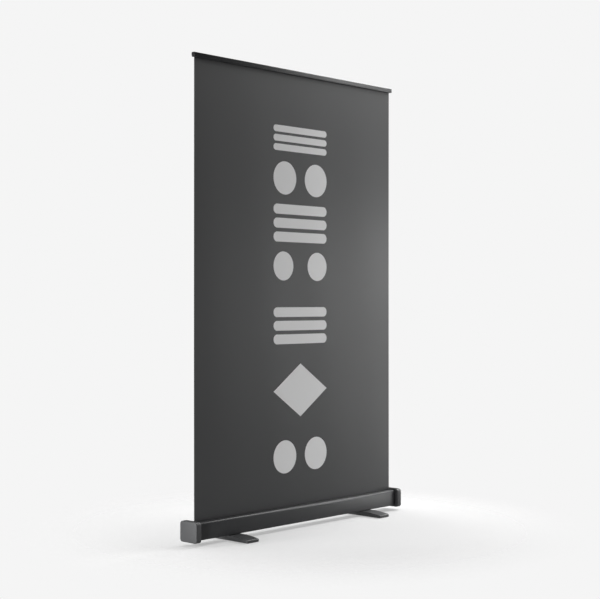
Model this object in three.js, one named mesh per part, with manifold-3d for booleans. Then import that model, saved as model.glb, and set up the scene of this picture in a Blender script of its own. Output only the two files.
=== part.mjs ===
// Wide roll-up banner stand: a spring roller in an aluminium base, two swinging feet,
// a telescopic pole and a snap rail that holds the top edge of the banner.
// Units are millimetres, +Z is up, +X runs along the width and the printed face looks along -Y.
// The origin is on the floor, under the middle of the base.

import * as THREE from "three";
import { mergeVertices } from "three/addons/utils/BufferGeometryUtils.js";
import Module from "manifold-3d";

const wasm = await Module();
wasm.setup();

// ---------------------------------------------------------------- driving dimensions

const GAP = 0.3; // clearance between touching pieces
const ROUND = 20; // facets on a large round piece
const SMALL_ROUND = 12; // facets on a small round piece
const SIDES = { left: -1, right: 1 };

const BANNER = { width: 1219.2, height: 1836, thickness: 0.5, planeY: 2 };

const HOUSING = {
  depth: 64,
  bottom: 23,
  top: 92,
  wall: 2,
  frontRadius: 10,
  rearRadius: 5,
  footRadius: 3,
  slotWidth: 8,
  lipDrop: 7,
  halfLength: 627.4,
};

const CAP = {
  outer: 641.7,
  inner: 615.7,
  depth: 96,
  bottom: 15,
  top: 98,
  radius: 13,
  edge: 3,
  pocketDepth: 20,
};

const PORT = { outer: 4.2, inner: 1.9, inset: 5.6, mouthDeg: 60 }; // screw channels of the housing
const PLATE = { thickness: 4, start: HOUSING.halfLength + GAP };
const PLATE_SCREW = { head: 3.5, headHeight: 2.8, shank: 1.7, length: 22 };
const GRUB = { radius: 2.5, hole: 2.8, x: 622, bottom: 16, socketDepth: 2.5 };

const ROLLER = {
  y: -9,
  z: 57,
  tubeInner: 12.8,
  tubeOuter: 14,
  tubeHalf: 612,
  rollOuter: 15.8,
  axle: 4,
  bore: 4.3,
  plugLength: 30,
  flange: 3,
  spacerOuter: 8,
  pinHead: 6,
  pinHeadThickness: 2.5,
};

const SPRING = { meanRadius: 7.5, wire: 0.9, start: 292, end: 572, turns: 14, stepsPerTurn: 8 };
const ANCHOR = { start: 262, end: 284 };

const FOOT = {
  x: 413,
  width: 66,
  length: 264,
  cornerRadius: 3,
  bottom: 2,
  tipTop: 14,
  tipEdge: 4.5,
  hubTop: 21.4,
  hubHalf: 64,
  padY: 110,
  padRadius: 11,
};

const BOLT = { head: 7.2, headBottom: 2.6, headTop: 7.9, shank: 4, top: 35, key: 3.4, keyDepth: 3 };
const NUT = { acrossCorners: 15, height: 6.5 };
const WASHER = { outer: 9 };

const POLE = {
  y: 19,
  lower: { inner: 7, outer: 8, bottom: 32.7, top: 708.7 },
  middle: { inner: 5.5, outer: 6.5, bottom: 605, top: 1298.7 },
  upper: { inner: 4, outer: 5, bottom: 1195, top: 1927.7 },
};

const SOCKET = { outer: 9.7, inner: 8.3, floor: 25.3, seat: 29.1, flange: 12, flangeHeight: 2 };

const RAIL = {
  bottom: HOUSING.top + BANNER.height,
  height: 18.2,
  front: 10.5,
  rear: 5.5,
  wall: 1.6,
  rib: 4,
  halfLength: 615,
  capThickness: 2.5,
  hingeOffset: -3.6, // hinge line, measured from the banner plane
};
RAIL.top = RAIL.bottom + RAIL.height;

// ---------------------------------------------------------------- materials

const material = (color, roughness, metalness) =>
  new THREE.MeshStandardMaterial({ color, roughness, metalness });

const FINISH = {
  anodised: material(0x3d3f42, 0.38, 0.6),
  capPlastic: material(0x46484b, 0.45, 0.1),
  bannerFilm: material(0x47484b, 0.55, 0),
  coated: material(0x333437, 0.5, 0.3),
  aluminium: material(0xa9acb0, 0.35, 1),
  steel: material(0x9b9da1, 0.3, 1),
  blackPlastic: material(0x1f2022, 0.5, 0),
  rubber: material(0x151515, 0.85, 0),
  leader: material(0xc9c9c6, 0.6, 0),
};

// ---------------------------------------------------------------- solids

const asSolid = (geometry) => {
  const bare = geometry.clone();
  for (const name of Object.keys(bare.attributes)) {
    if (name !== "position") bare.deleteAttribute(name);
  }
  const merged = mergeVertices(bare, 1e-4);
  return new wasm.Manifold(
    new wasm.Mesh({
      numProp: 3,
      vertProperties: new Float32Array(merged.attributes.position.array),
      triVerts: new Uint32Array(merged.index.array),
    }),
  );
};

const asGeometry = (solid) => {
  const mesh = solid.getMesh();
  const geometry = new THREE.BufferGeometry();
  geometry.setAttribute("position", new THREE.BufferAttribute(mesh.vertProperties, 3));
  geometry.setIndex(new THREE.BufferAttribute(mesh.triVerts, 1));
  const flat = geometry.toNonIndexed();
  flat.computeVertexNormals();
  return flat;
};

const cut = (geometry, cutters) =>
  asGeometry(cutters.reduce((body, tool) => body.subtract(asSolid(tool)), asSolid(geometry)));

const join = (geometries) =>
  asGeometry(geometries.map(asSolid).reduce((body, piece) => body.add(piece)));

const intersect = (a, b) => asGeometry(asSolid(a).intersect(asSolid(b)));

// A shape drawn in (y, z), extruded along X between two stations.
const extrudeX = (shape, xa, xb, curveSegments = 3) => {
  const from = Math.min(xa, xb);
  const geometry = new THREE.ExtrudeGeometry(shape, {
    depth: Math.abs(xb - xa),
    bevelEnabled: false,
    curveSegments,
  });
  const turn = new THREE.Matrix4().set(0, 0, 1, from, 1, 0, 0, 0, 0, 1, 0, 0, 0, 0, 0, 1);
  return geometry.applyMatrix4(turn);
};

// A shape drawn in (x, y), extruded up Z.
const extrudeZ = (shape, za, zb, curveSegments = 3) =>
  new THREE.ExtrudeGeometry(shape, {
    depth: zb - za,
    bevelEnabled: false,
    curveSegments,
  }).translate(0, 0, za);

// A closed profile of [radius, height] points turned about a vertical line.
const turnedZ = (profile, x, y, facets = ROUND) =>
  new THREE.LatheGeometry(profile.map(([r, h]) => new THREE.Vector2(r, h)), facets)
    .rotateX(Math.PI / 2)
    .translate(x, y, 0);

// A closed profile of [radius, x] points turned about the roller's axis.
const turnedX = (profile, facets = ROUND) =>
  new THREE.LatheGeometry(profile.map(([r, h]) => new THREE.Vector2(r, h)), facets)
    .rotateZ(-Math.PI / 2)
    .translate(0, ROLLER.y, ROLLER.z);

const ringProfile = (inner, outer, from, to) => [
  [inner, from],
  [outer, from],
  [outer, to],
  [inner, to],
  [inner, from],
];

const tubeZ = (inner, outer, za, zb, y, facets = ROUND) =>
  turnedZ(ringProfile(inner, outer, za, zb), 0, y, facets);

const tubeX = (inner, outer, xa, xb, facets = ROUND) =>
  turnedX(ringProfile(inner, outer, Math.min(xa, xb), Math.max(xa, xb)), facets);

const cylinderZ = (radius, za, zb, x, y, facets = SMALL_ROUND) =>
  new THREE.CylinderGeometry(radius, radius, zb - za, facets)
    .rotateX(Math.PI / 2)
    .translate(x, y, (za + zb) / 2);

const cylinderX = (radius, xa, xb, y, z, facets = SMALL_ROUND) =>
  new THREE.CylinderGeometry(radius, radius, Math.abs(xb - xa), facets)
    .rotateZ(Math.PI / 2)
    .translate((xa + xb) / 2, y, z);

const block = (xa, xb, ya, yb, za, zb) =>
  new THREE.BoxGeometry(Math.abs(xb - xa), yb - ya, zb - za).translate(
    (xa + xb) / 2,
    (ya + yb) / 2,
    (za + zb) / 2,
  );

const outline = (points) => new THREE.Shape(points.map(([a, b]) => new THREE.Vector2(a, b)));

const roundedRectangle = (left, right, low, high, radius) => {
  const shape = new THREE.Shape();
  shape.moveTo(left + radius, low);
  shape.lineTo(right - radius, low);
  shape.absarc(right - radius, low + radius, radius, -Math.PI / 2, 0, false);
  shape.lineTo(right, high - radius);
  shape.absarc(right - radius, high - radius, radius, 0, Math.PI / 2, false);
  shape.lineTo(left + radius, high);
  shape.absarc(left + radius, high - radius, radius, Math.PI / 2, Math.PI, false);
  shape.lineTo(left, low + radius);
  shape.absarc(left + radius, low + radius, radius, Math.PI, 1.5 * Math.PI, false);
  return shape;
};

const stand = new THREE.Group();

const add = (name, geometry, finish) => {
  const mesh = new THREE.Mesh(geometry, finish);
  mesh.name = name;
  stand.add(mesh);
};

// ---------------------------------------------------------------- base housing

const halfDepth = HOUSING.depth / 2;
const slotFront = BANNER.planeY - HOUSING.slotWidth / 2;
const slotRear = BANNER.planeY + HOUSING.slotWidth / 2;

// The housing's section: a box profile, open along the slot, with lips turned down beside it.
const housingSection = () => {
  const { wall, bottom, top, frontRadius, rearRadius, footRadius, lipDrop } = HOUSING;
  const shape = new THREE.Shape();
  const outer = halfDepth;
  const inner = halfDepth - wall;
  shape.moveTo(slotFront, top);
  shape.lineTo(-outer + frontRadius, top);
  shape.absarc(-outer + frontRadius, top - frontRadius, frontRadius, Math.PI / 2, Math.PI, false);
  shape.lineTo(-outer, bottom + footRadius);
  shape.absarc(-outer + footRadius, bottom + footRadius, footRadius, Math.PI, 1.5 * Math.PI, false);
  shape.lineTo(outer - footRadius, bottom);
  shape.absarc(outer - footRadius, bottom + footRadius, footRadius, 1.5 * Math.PI, 2 * Math.PI, false);
  shape.lineTo(outer, top - rearRadius);
  shape.absarc(outer - rearRadius, top - rearRadius, rearRadius, 0, Math.PI / 2, false);
  shape.lineTo(slotRear, top);
  shape.lineTo(slotRear, top - lipDrop);
  shape.lineTo(slotRear + wall, top - lipDrop);
  shape.lineTo(slotRear + wall, top - wall);
  shape.lineTo(outer - rearRadius, top - wall);
  shape.absarc(outer - rearRadius, top - rearRadius, rearRadius - wall, Math.PI / 2, 0, true);
  shape.lineTo(inner, bottom + wall);
  shape.lineTo(-inner, bottom + wall);
  shape.lineTo(-inner, top - frontRadius);
  shape.absarc(-outer + frontRadius, top - frontRadius, frontRadius - wall, Math.PI, Math.PI / 2, true);
  shape.lineTo(slotFront - wall, top - wall);
  shape.lineTo(slotFront - wall, top - lipDrop);
  shape.lineTo(slotFront, top - lipDrop);
  return shape;
};

// Centres of the three screw channels, with the direction that each one opens in.
const PORTS = {
  front_bottom: { y: -halfDepth + PORT.inset, z: HOUSING.bottom + PORT.inset, mouth: 45 },
  rear_bottom: { y: halfDepth - PORT.inset, z: HOUSING.bottom + PORT.inset, mouth: 135 },
  front_top: { y: -halfDepth + PORT.inset, z: HOUSING.top - PORT.inset - 1, mouth: -45 },
};

const portSection = ({ y, z, mouth }) => {
  const from = THREE.MathUtils.degToRad(mouth + PORT.mouthDeg / 2);
  const to = THREE.MathUtils.degToRad(mouth + 360 - PORT.mouthDeg / 2);
  const shape = new THREE.Shape();
  shape.absarc(y, z, PORT.outer, from, to, false);
  shape.absarc(y, z, PORT.inner, to, from, true);
  return shape;
};

const baseHousing = () => {
  const { halfLength } = HOUSING;
  const shell = extrudeX(housingSection(), -halfLength, halfLength);
  const channels = Object.values(PORTS).map((port) =>
    extrudeX(portSection(port), -halfLength, halfLength, 6),
  );
  const boltHoles = Object.values(SIDES).map((side) =>
    cylinderZ(ROLLER.bore, HOUSING.bottom - 1, HOUSING.bottom + HOUSING.wall + 1, side * FOOT.x, 0),
  );
  const poleHole = cylinderZ(
    SOCKET.outer + GAP,
    HOUSING.bottom + HOUSING.wall,
    HOUSING.top + 1,
    0,
    POLE.y,
    ROUND,
  );
  return cut(join([shell, ...channels]), [...boltHoles, poleHole]);
};

add("base_housing", baseHousing(), FINISH.anodised);

// ---------------------------------------------------------------- ends of the base

// A cap is a rounded block with a pocket that takes the end of the housing.
const endCap = (side) => {
  const width = CAP.outer - CAP.inner;
  const half = CAP.depth / 2 - CAP.edge;
  const body = new THREE.ExtrudeGeometry(
    roundedRectangle(-half, half, CAP.bottom + CAP.edge, CAP.top - CAP.edge, CAP.radius - CAP.edge),
    {
      depth: width,
      bevelThickness: CAP.edge,
      bevelSize: CAP.edge,
      bevelSegments: 2,
      curveSegments: 3,
    },
  );
  const sideways = new THREE.Matrix4().set(0, 0, 1, 0, 1, 0, 0, 0, 0, 1, 0, 0, 0, 0, 0, 1);
  const start = side > 0 ? CAP.outer - width - CAP.edge : -CAP.outer + CAP.edge;
  body.applyMatrix4(sideways).translate(start, BANNER.planeY, 0);
  const trim = side * (CAP.inner - 2 * CAP.edge - 1);
  const inside = block(trim, side * CAP.inner, -CAP.depth, CAP.depth, 0, 2 * CAP.top);
  const pocket = extrudeX(
    roundedRectangle(
      -halfDepth - GAP,
      halfDepth + GAP,
      HOUSING.bottom - GAP,
      HOUSING.top + GAP,
      HOUSING.footRadius,
    ),
    side * (CAP.inner - 1),
    side * (CAP.inner + CAP.pocketDepth),
  );
  const grubHole = cylinderZ(GRUB.hole, CAP.bottom - 1, HOUSING.bottom + 1, side * GRUB.x, 0);
  return cut(body, [inside, pocket, grubHole]);
};

const grubScrew = (side) => {
  const top = HOUSING.bottom - GAP;
  const body = cylinderZ(GRUB.radius, GRUB.bottom, top, side * GRUB.x, 0);
  const socket = cylinderZ(
    GRUB.radius / 2,
    GRUB.bottom - 1,
    GRUB.bottom + GRUB.socketDepth,
    side * GRUB.x,
    0,
    6,
  );
  return cut(body, [socket]);
};

const plateInner = PLATE.start;
const plateOuter = PLATE.start + PLATE.thickness;

// The bearing plate closes the housing and carries one end of the roller.
const bearingPlate = (side) => {
  const rim = 0.5;
  const body = extrudeX(
    roundedRectangle(
      -halfDepth + rim,
      halfDepth - rim,
      HOUSING.bottom + rim,
      HOUSING.top - rim,
      HOUSING.footRadius,
    ),
    side * plateInner,
    side * plateOuter,
  );
  const screwHoles = Object.values(PORTS).map(({ y, z }) =>
    cylinderX(PLATE_SCREW.shank + GAP, side * (plateInner - 1), side * (plateOuter + 1), y, z),
  );
  const seat = ROLLER.bore;
  const axleHole =
    side < 0
      ? cylinderX(seat, -plateInner + 1, -plateOuter - 1, ROLLER.y, ROLLER.z, ROUND)
      : block(
          plateInner - 1,
          plateOuter + 1,
          ROLLER.y - seat,
          ROLLER.y + seat,
          ROLLER.z - seat,
          ROLLER.z + seat,
        );
  return cut(body, [...screwHoles, axleHole]);
};

const plateScrew = (side, { y, z }) => {
  const headInner = plateOuter + GAP;
  const headOuter = headInner + PLATE_SCREW.headHeight;
  const head = cylinderX(PLATE_SCREW.head, side * headInner, side * headOuter, y, z);
  const tip = headInner - PLATE_SCREW.length;
  const shank = cylinderX(PLATE_SCREW.shank, side * tip, side * (headInner + 1), y, z, 12);
  const slot = 0.6;
  const driver = block(
    side * (headOuter - 1.2),
    side * (headOuter + 1),
    y - PLATE_SCREW.head - 1,
    y + PLATE_SCREW.head + 1,
    z - slot,
    z + slot,
  );
  return cut(join([head, shank]), [driver]);
};

for (const [sideName, side] of Object.entries(SIDES)) {
  add(`${sideName}_end_cap`, endCap(side), FINISH.capPlastic);
  add(`${sideName}_cap_grub_screw`, grubScrew(side), FINISH.steel);
  add(`${sideName}_bearing_plate`, bearingPlate(side), FINISH.steel);
  for (const [place, port] of Object.entries(PORTS)) {
    add(`${sideName}_plate_screw_${place}`, plateScrew(side, port), FINISH.steel);
  }
}

// ---------------------------------------------------------------- roller

const flangeOuter = ROLLER.tubeHalf + GAP + ROLLER.flange;

const rollerPlug = (side) => {
  const inner = ROLLER.tubeHalf - ROLLER.plugLength;
  const profile = [
    [ROLLER.bore, inner],
    [ROLLER.tubeInner - GAP, inner],
    [ROLLER.tubeInner - GAP, ROLLER.tubeHalf + GAP],
    [ROLLER.tubeOuter, ROLLER.tubeHalf + GAP],
    [ROLLER.tubeOuter, flangeOuter],
    [ROLLER.bore, flangeOuter],
    [ROLLER.bore, inner],
  ];
  const placed = side > 0 ? profile : profile.map(([r, x]) => [r, -x]).reverse();
  return turnedX(placed);
};

// The idle end turns on a short headed pin.
const stubAxle = () => {
  const tip = -ROLLER.tubeHalf + ROLLER.plugLength - 6;
  const headInner = -plateOuter - GAP;
  const headOuter = headInner - ROLLER.pinHeadThickness;
  return turnedX([
    [0, headOuter],
    [ROLLER.pinHead, headOuter],
    [ROLLER.pinHead, headInner],
    [ROLLER.axle, headInner],
    [ROLLER.axle, tip],
    [0, tip],
  ]);
};

// The spring end hangs on a fixed rod, squared where the bearing plate holds it.
const springArbor = () => {
  const rod = cylinderX(ROLLER.axle, ANCHOR.start + 4, plateInner - 2, ROLLER.y, ROLLER.z);
  const square = ROLLER.bore - GAP;
  const tang = block(
    plateInner - 3,
    plateOuter + 2.5,
    ROLLER.y - square,
    ROLLER.y + square,
    ROLLER.z - square,
    ROLLER.z + square,
  );
  return join([rod, tang]);
};

const springAnchor = () => {
  const body = tubeX(ROLLER.bore, ROLLER.tubeInner - GAP, ANCHOR.start, ANCHOR.end);
  const wireSlot = block(
    ANCHOR.end - 5,
    ANCHOR.end + 1,
    ROLLER.y - 1.5,
    ROLLER.y + 1.5,
    ROLLER.z + ROLLER.bore + 0.7,
    ROLLER.z + ROLLER.tubeInner,
  );
  return cut(body, [wireSlot]);
};

class Helix extends THREE.Curve {
  getPoint(t, target = new THREE.Vector3()) {
    const angle = 2 * Math.PI * SPRING.turns * t;
    return target.set(
      THREE.MathUtils.lerp(SPRING.start, SPRING.end, t),
      ROLLER.y + SPRING.meanRadius * Math.cos(angle),
      ROLLER.z + SPRING.meanRadius * Math.sin(angle),
    );
  }
}

const torsionSpring = () => {
  const section = new THREE.Shape();
  section.absarc(0, 0, SPRING.wire, 0, 2 * Math.PI, false);
  return new THREE.ExtrudeGeometry(section, {
    steps: SPRING.turns * SPRING.stepsPerTurn,
    curveSegments: 3,
    bevelEnabled: false,
    extrudePath: new Helix(),
  });
};

const spacer = (side) =>
  tubeX(
    ROLLER.bore,
    ROLLER.spacerOuter,
    side * (flangeOuter + GAP),
    side * (plateInner - 3 - GAP),
  );

const rollerTube = () =>
  tubeX(ROLLER.tubeInner, ROLLER.tubeOuter, -ROLLER.tubeHalf, ROLLER.tubeHalf);

add("roller_tube", rollerTube(), FINISH.aluminium);
add("left_roller_plug", rollerPlug(SIDES.left), FINISH.blackPlastic);
add("right_roller_plug", rollerPlug(SIDES.right), FINISH.blackPlastic);
add("left_axle_spacer", spacer(SIDES.left), FINISH.blackPlastic);
add("right_axle_spacer", spacer(SIDES.right), FINISH.blackPlastic);
add("left_stub_axle", stubAxle(), FINISH.steel);
add("spring_arbor", springArbor(), FINISH.steel);
add("torsion_spring", torsionSpring(), FINISH.steel);
add("spring_anchor_plug", springAnchor(), FINISH.blackPlastic);

// ---------------------------------------------------------------- banner

const halfWidth = BANNER.width / 2;
const halfSheet = BANNER.thickness / 2;
const splice = HOUSING.top - HOUSING.lipDrop + 1; // where the banner is taped to its leader

add(
  "fabric_roll",
  tubeX(ROLLER.tubeOuter + GAP, ROLLER.rollOuter, -halfWidth, halfWidth),
  FINISH.leader,
);

// The leader leaves the back of the roll and climbs to the slot.
const leaderStrip = () => {
  const tangentY = ROLLER.y + ROLLER.rollOuter + GAP;
  const front = [
    [tangentY, ROLLER.z - 2],
    [tangentY, ROLLER.z + 3],
    [BANNER.planeY - halfSheet, splice],
  ];
  const back = front.map(([y, z]) => [y + BANNER.thickness, z]).reverse();
  return extrudeX(outline([...front, ...back]), -halfWidth, halfWidth);
};

add("leader_strip", leaderStrip(), FINISH.leader);
add(
  "fabric_sheet",
  block(
    -halfWidth,
    halfWidth,
    BANNER.planeY - halfSheet,
    BANNER.planeY + halfSheet,
    splice + GAP,
    RAIL.bottom + 10,
  ),
  FINISH.bannerFilm,
);

// ---------------------------------------------------------------- feet

const footBody = (x) => {
  const half = FOOT.length / 2;
  const edge = FOOT.tipEdge;
  const side = outline([
    [-half, FOOT.bottom],
    [half, FOOT.bottom],
    [half, FOOT.tipTop - edge],
    [half - edge, FOOT.tipTop],
    [FOOT.hubHalf, FOOT.hubTop],
    [-FOOT.hubHalf, FOOT.hubTop],
    [-half + edge, FOOT.tipTop],
    [-half, FOOT.tipTop - edge],
  ]);
  const bar = extrudeX(side, x - FOOT.width / 2, x + FOOT.width / 2);
  const plan = roundedRectangle(
    x - FOOT.width / 2,
    x + FOOT.width / 2,
    -half,
    half,
    FOOT.cornerRadius,
  );
  const rounded = intersect(bar, extrudeZ(plan, 0, 2 * FOOT.hubTop));
  const padRecesses = [-1, 1].map((end) =>
    cylinderZ(FOOT.padRadius + GAP, 0, FOOT.bottom + 2, x, end * FOOT.padY, ROUND),
  );
  const counterbore = cylinderZ(BOLT.head + GAP, 0, BOLT.headTop + GAP, x, 0, ROUND);
  const bore = cylinderZ(BOLT.shank + GAP, 0, 2 * FOOT.hubTop, x, 0);
  return cut(rounded, [...padRecesses, counterbore, bore]);
};

const footPad = (x, y) =>
  turnedZ(
    [
      [0, 0],
      [FOOT.padRadius - 1, 0],
      [FOOT.padRadius, 1],
      [FOOT.padRadius, FOOT.bottom + 2 - GAP],
      [0, FOOT.bottom + 2 - GAP],
    ],
    x,
    y,
  );

const footBolt = (x) => {
  const body = turnedZ(
    [
      [0, BOLT.headBottom],
      [BOLT.head, BOLT.headBottom],
      [BOLT.head, BOLT.headTop],
      [BOLT.shank, BOLT.headTop],
      [BOLT.shank, BOLT.top],
      [0, BOLT.top],
    ],
    x,
    0,
    SMALL_ROUND,
  );
  return cut(body, [cylinderZ(BOLT.key, 0, BOLT.headBottom + BOLT.keyDepth, x, 0, 6)]);
};

const footNut = (x) => {
  const bottom = HOUSING.bottom + HOUSING.wall + GAP;
  const top = bottom + NUT.height;
  const body = cylinderZ(NUT.acrossCorners / 2, bottom, top, x, 0, 6);
  return cut(body, [cylinderZ(BOLT.shank + GAP, bottom - 1, top + 1, x, 0)]);
};

const footWasher = (x) =>
  turnedZ(
    ringProfile(BOLT.shank + GAP, WASHER.outer, FOOT.hubTop + GAP, HOUSING.bottom - GAP),
    x,
    0,
    SMALL_ROUND,
  );

for (const [sideName, side] of Object.entries(SIDES)) {
  const x = side * FOOT.x;
  add(`${sideName}_foot`, footBody(x), FINISH.coated);
  add(`${sideName}_foot_front_pad`, footPad(x, -FOOT.padY), FINISH.rubber);
  add(`${sideName}_foot_rear_pad`, footPad(x, FOOT.padY), FINISH.rubber);
  add(`${sideName}_foot_bolt`, footBolt(x), FINISH.steel);
  add(`${sideName}_foot_nut`, footNut(x), FINISH.steel);
  add(`${sideName}_foot_washer`, footWasher(x), FINISH.blackPlastic);
}

// ---------------------------------------------------------------- pole

const poleSocket = () =>
  turnedZ(
    [
      [0, SOCKET.floor],
      [SOCKET.outer, SOCKET.floor],
      [SOCKET.outer, HOUSING.top + GAP],
      [SOCKET.flange, HOUSING.top + GAP],
      [SOCKET.flange, HOUSING.top + GAP + SOCKET.flangeHeight],
      [SOCKET.inner, HOUSING.top + GAP + SOCKET.flangeHeight],
      [SOCKET.inner, SOCKET.seat],
      [0, SOCKET.seat],
    ],
    0,
    POLE.y,
  );

const poleFootPlug = () => {
  const { bottom, inner, outer } = POLE.lower;
  return turnedZ(
    [
      [0, SOCKET.seat + GAP],
      [outer, SOCKET.seat + GAP],
      [outer, bottom - GAP],
      [inner - GAP, bottom - GAP],
      [inner - GAP, bottom + 5.3],
      [0, bottom + 5.3],
    ],
    0,
    POLE.y,
  );
};

const poleTube = ({ inner, outer, bottom, top }) => tubeZ(inner, outer, bottom, top, POLE.y);

// A bush closes the lower end of a sliding tube and guides it in the tube below.
const guideBush = (tube, outside) =>
  turnedZ(
    [
      [0, tube.bottom - 14],
      [outside.inner - GAP, tube.bottom - 14],
      [outside.inner - GAP, tube.bottom - GAP],
      [tube.inner - GAP, tube.bottom - GAP],
      [tube.inner - GAP, tube.bottom + 12],
      [0, tube.bottom + 12],
    ],
    0,
    POLE.y,
  );

// A twist collar grips the sliding tube at the mouth of the tube below it.
const lockCollar = (below, above, drop, height, thickness) => {
  const low = below.top - drop;
  const high = low + height;
  const wide = below.outer + thickness;
  const neck = above.outer + thickness;
  return turnedZ(
    [
      [below.outer + GAP + 0.1, low],
      [wide - 0.8, low],
      [wide, low + 0.8],
      [wide, below.top + 4],
      [neck, high - 2],
      [neck - 1, high],
      [above.outer + GAP + 0.1, high],
      [above.outer + GAP + 0.1, below.top + GAP],
      [below.outer + GAP + 0.1, below.top + GAP],
      [below.outer + GAP + 0.1, low],
    ],
    0,
    POLE.y,
  );
};

// The hook caps the pole and reaches forward under the lip at the back of the rail.
const poleTopHook = () => {
  const { outer, top } = POLE.upper;
  const radius = 7;
  const crown = top + 4.3;
  const halfHook = 9;
  const fingerFront = BANNER.planeY + RAIL.rear + GAP + 0.1;
  const fingerRear = fingerFront + 1.7;
  const cup = cylinderZ(radius, top - 20, crown, 0, POLE.y, ROUND);
  const arm = block(-halfHook, halfHook, fingerFront, POLE.y, top - 2, crown);
  const finger = block(-halfHook, halfHook, fingerFront, fingerRear, top - 1, RAIL.top - 4.7);
  const bore = cylinderZ(outer + GAP, top - 21, top + GAP, 0, POLE.y, ROUND);
  return cut(join([cup, arm, finger]), [bore]);
};

add("pole_socket", poleSocket(), FINISH.blackPlastic);
add("pole_foot_plug", poleFootPlug(), FINISH.blackPlastic);
add("pole_lower_tube", poleTube(POLE.lower), FINISH.aluminium);
add("pole_middle_tube", poleTube(POLE.middle), FINISH.aluminium);
add("pole_upper_tube", poleTube(POLE.upper), FINISH.aluminium);
add("middle_guide_bush", guideBush(POLE.middle, POLE.lower), FINISH.blackPlastic);
add("upper_guide_bush", guideBush(POLE.upper, POLE.middle), FINISH.blackPlastic);
add("lower_lock_collar", lockCollar(POLE.lower, POLE.middle, 13.7, 36, 3), FINISH.blackPlastic);
add("upper_lock_collar", lockCollar(POLE.middle, POLE.upper, 9.7, 32, 3), FINISH.blackPlastic);
add("pole_top_hook", poleTopHook(), FINISH.blackPlastic);

// ---------------------------------------------------------------- top rail

const fromPlane = (points) => outline(points.map(([u, z]) => [BANNER.planeY + u, z]));

// The rear jaw carries the top wall and, behind it, the lip that the pole's hook catches.
const rearJaw = () => {
  const { bottom, top, rear, wall, rib, hingeOffset } = RAIL;
  const nip = halfSheet + GAP;
  const shape = fromPlane([
    [nip, bottom],
    [rear, bottom],
    [rear, top - 4],
    [rear + 2.5, top - 4],
    [rear + 2.5, top - 10],
    [rear + 4, top - 10],
    [rear + 4, top - 2],
    [rear, top - 2],
    [rear - 0.6, top - 0.6],
    [rear - 2, top],
    [hingeOffset + 0.2, top],
    [hingeOffset + 0.2, top - wall],
    [rear - wall, top - wall],
    [rear - wall, bottom + rib],
    [nip, bottom + rib],
  ]);
  return extrudeX(shape, -RAIL.halfLength, RAIL.halfLength);
};

// The front jaw swings out from the top edge to let the banner in.
const frontJaw = () => {
  const { bottom, top, front, wall, rib, hingeOffset } = RAIL;
  const nip = halfSheet + GAP;
  const shape = fromPlane([
    [-front, bottom + 1],
    [-front + 1, bottom],
    [-nip, bottom],
    [-nip, bottom + rib],
    [-front + wall, bottom + rib],
    [-front + wall, top - wall],
    [hingeOffset - 0.2, top - wall],
    [hingeOffset - 0.2, top],
    [-front + 2, top],
    [-front + 0.6, top - 0.6],
    [-front, top - 2],
  ]);
  return extrudeX(shape, -RAIL.halfLength + GAP, RAIL.halfLength - GAP);
};

const railCap = (side) => {
  const { bottom, top, front, rear, halfLength, capThickness } = RAIL;
  const plate = roundedRectangle(BANNER.planeY - front, BANNER.planeY + rear, bottom, top, 2);
  const inner = halfLength + GAP;
  return extrudeX(plate, side * inner, side * (inner + capThickness));
};

add("top_rail", rearJaw(), FINISH.anodised);
add("rail_front_jaw", frontJaw(), FINISH.anodised);
add("rail_left_cap", railCap(SIDES.left), FINISH.capPlastic);
add("rail_right_cap", railCap(SIDES.right), FINISH.capPlastic);

export default stand;
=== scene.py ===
import math

import bpy
from bpy.props import FloatProperty, FloatVectorProperty, IntProperty, PointerProperty
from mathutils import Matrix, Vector


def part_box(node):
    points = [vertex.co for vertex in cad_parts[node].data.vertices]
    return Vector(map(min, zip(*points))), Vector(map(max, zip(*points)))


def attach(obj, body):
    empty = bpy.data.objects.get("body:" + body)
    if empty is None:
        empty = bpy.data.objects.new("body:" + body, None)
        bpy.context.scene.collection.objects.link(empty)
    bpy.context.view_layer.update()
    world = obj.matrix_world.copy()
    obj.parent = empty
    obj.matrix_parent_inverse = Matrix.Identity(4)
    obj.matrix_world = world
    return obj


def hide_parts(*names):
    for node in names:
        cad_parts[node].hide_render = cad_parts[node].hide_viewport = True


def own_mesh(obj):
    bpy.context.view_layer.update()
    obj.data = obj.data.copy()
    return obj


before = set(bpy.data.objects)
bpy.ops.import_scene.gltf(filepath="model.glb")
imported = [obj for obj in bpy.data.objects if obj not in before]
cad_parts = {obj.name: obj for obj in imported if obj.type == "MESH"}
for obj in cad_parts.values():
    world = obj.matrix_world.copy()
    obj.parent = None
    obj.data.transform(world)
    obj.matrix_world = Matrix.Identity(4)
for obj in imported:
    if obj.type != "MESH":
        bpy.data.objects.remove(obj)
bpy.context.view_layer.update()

bl_info = {
    "name": "Roll-up banner stand",
    "version": (1, 0, 0),
    "blender": (4, 5, 0),
    "location": "View3D > Sidebar > Banner stand",
    "description": "Builds the visible pieces of a wide roll-up banner stand around its frame",
    "category": "Add Mesh",
}

MM = 0.001
NEAR = 0.01 * MM
BOLT_HOLE = 4.3 * MM
SIDE_NAMES = ("left", "right")


# ------------------------------------------------------------------ places taken from the frame

def middle(node):
    """The centre of a frame node's box."""
    low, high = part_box(node)
    return (low + high) / 2


def tube_radius(node):
    """A tube's radius; its diameter is a whole number of millimetres."""
    low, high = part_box(node)
    return round((high.x - low.x) / MM) * MM / 2


def on(plane, *values):
    """Whether all the values lie on a plane."""
    return all(abs(value - plane) < NEAR for value in values)


HOUSING_LOW, HOUSING_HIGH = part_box("base_housing")
SHEET_LOW, SHEET_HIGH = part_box("fabric_sheet")
POLE_Y = middle("pole_lower_tube").y
SHEET_Y = middle("fabric_sheet").y


# ------------------------------------------------------------------ settings

def length(name, description, default):
    """A setting for a length."""
    return FloatProperty(name=name, description=description, default=default, unit="LENGTH")


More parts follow.
